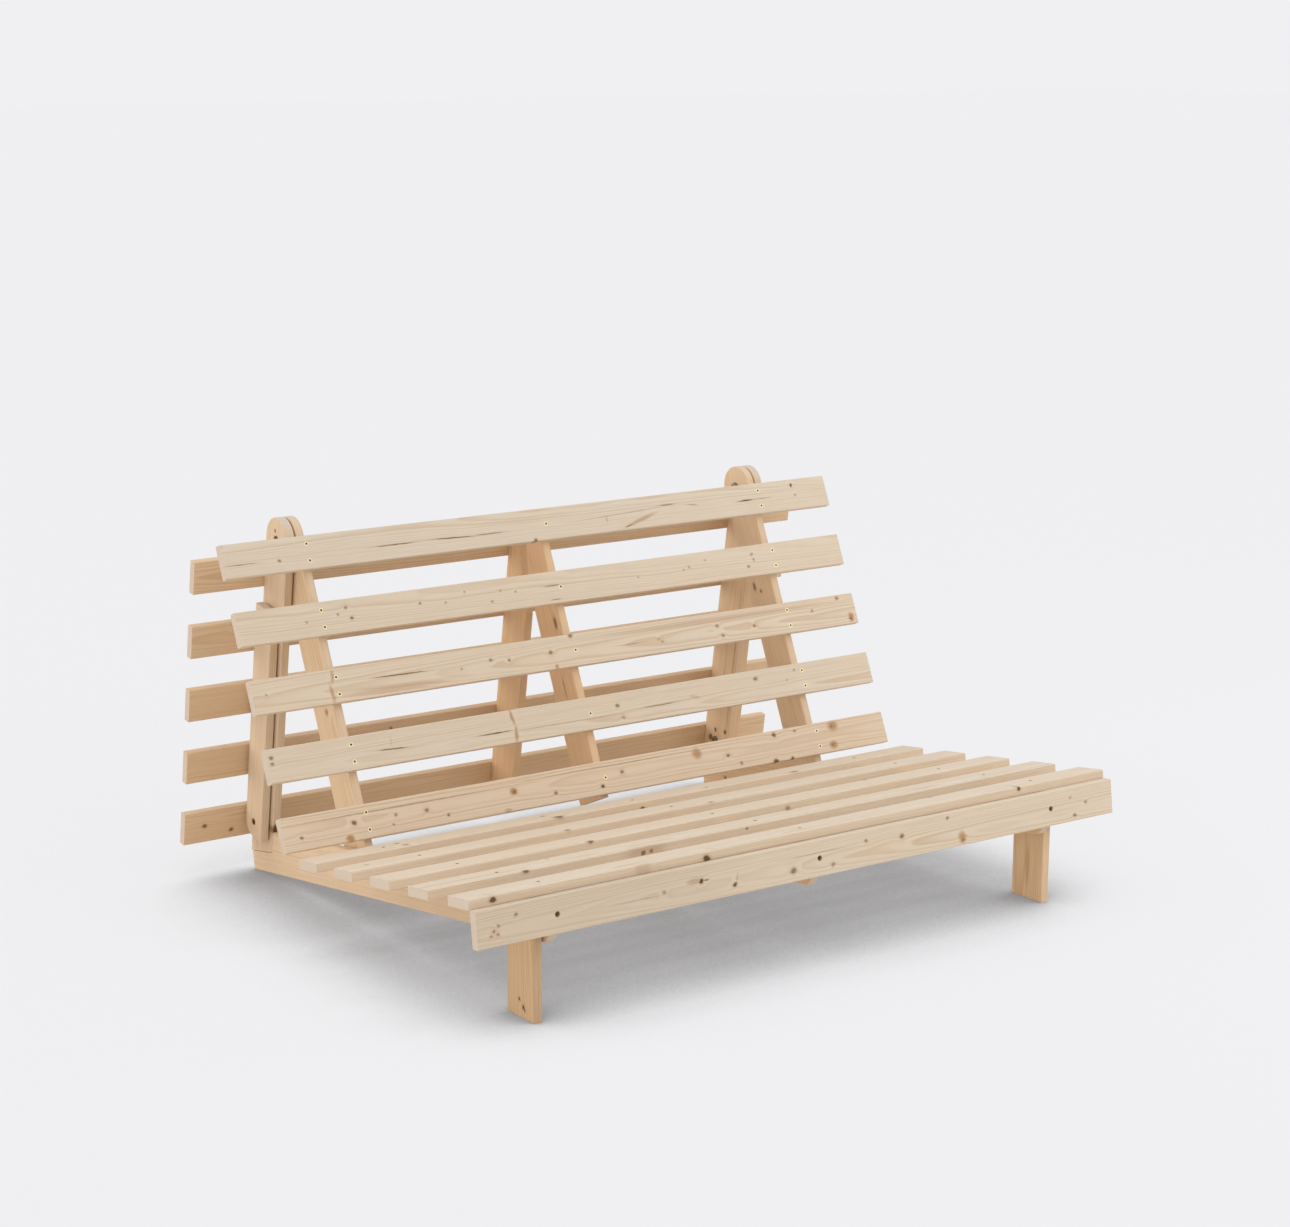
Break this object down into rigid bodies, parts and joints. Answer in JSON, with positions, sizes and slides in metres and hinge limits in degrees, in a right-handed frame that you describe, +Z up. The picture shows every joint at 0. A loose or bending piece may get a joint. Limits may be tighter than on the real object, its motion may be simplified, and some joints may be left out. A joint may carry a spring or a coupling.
{
  "type": "futon frame",
  "caption": "Folding futon base of plain softwood slats: a sloping seat with folding front legs and an A-shaped back that folds out flat to a low double bed.",
  "frame": {"origin": "on the floor, at the middle of the bounding box in plan", "axes": "+X along the slats to the sitter's left, seen from the front to the right; +Y from the front to the rear; +Z up"},
  "size_m": [1.4, 1.0758, 0.7111],
  "materials": {
    "softwood": "raw, planed and sanded",
    "yellow_zinc": "yellow zinc plate",
    "steel": "dull zinc plate"
  },
  "bodies": {
    "seat": {"seat_slat_1": "softwood", "seat_slat_2": "softwood", "seat_slat_3": "softwood", "seat_slat_4": "softwood", "seat_slat_5": "softwood", "seat_slat_screws": "yellow_zinc", "seat_rail_left": "softwood", "seat_rail_right": "softwood", "seat_rail_centre": "softwood", "front_board": "softwood", "board_bolts": "steel", "board_barrel_nuts": "steel", "back_pivot_bolts": "steel", "back_pivot_nuts": "steel", "back_pivot_spacers": "steel", "leg_pivot_bolts": "steel", "leg_pivot_nuts": "steel", "leg_pivot_spacers": "steel"},
    "back": {"back_slat_1": "softwood", "back_slat_2": "softwood", "back_slat_3": "softwood", "back_slat_4": "softwood", "back_slat_5": "softwood", "back_slat_screws": "yellow_zinc", "back_rail_left": "softwood", "back_rail_right": "softwood", "back_rail_centre": "softwood"},
    "rear": {"rear_slat_1": "softwood", "rear_slat_2": "softwood", "rear_slat_3": "softwood", "rear_slat_4": "softwood", "rear_slat_5": "softwood", "rear_slat_screws": "yellow_zinc", "rear_rail_left": "softwood", "rear_rail_right": "softwood", "rear_rail_centre": "softwood", "top_pivot_bolts": "steel", "top_pivot_nuts": "steel", "top_pivot_spacers": "steel", "stay_pivot_bolts": "steel", "stay_pivot_nuts": "steel", "stay_pivot_spacers": "steel"},
    "left_leg": {"leg_left": "softwood"},
    "right_leg": {"leg_right": "softwood"},
    "left_stay": {"stay_left": "softwood"},
    "right_stay": {"stay_right": "softwood"}
  },
  "joints": [
    {"name": "back_fold", "type": "hinge", "parent": "seat", "child": "back", "pos_m": [0, 0.13587, 0.09239], "axis": [-1, 0, 0], "range_deg": [0, 74.05]},
    {"name": "top_fold", "type": "hinge", "parent": "back", "child": "rear", "pos_m": [0, 0.38849, 0.67062], "axis": [1, 0, 0], "range_deg": [0, 147.7]},
    {"name": "left_leg_fold", "type": "hinge", "parent": "seat", "child": "left_leg", "pos_m": [-0.5655, -0.4653, 0.17264], "axis": [1, 0, 0], "range_deg": [0, 82.35]},
    {"name": "right_leg_fold", "type": "hinge", "parent": "seat", "child": "right_leg", "pos_m": [0.5655, -0.4653, 0.17264], "axis": [1, 0, 0], "range_deg": [0, 82.35]},
    {"name": "left_stay_swing", "type": "hinge", "parent": "rear", "child": "left_stay", "pos_m": [-0.5655, 0.47454, 0.10827], "axis": [1, 0, 0], "range_deg": [0, 15]},
    {"name": "right_stay_swing", "type": "hinge", "parent": "rear", "child": "right_stay", "pos_m": [0.5655, 0.47454, 0.10827], "axis": [1, 0, 0], "range_deg": [0, 15]}
  ],
  "couplings": [
    {"joint": "top_fold", "follows": "back_fold", "ratio": 1.9945}
  ]
}
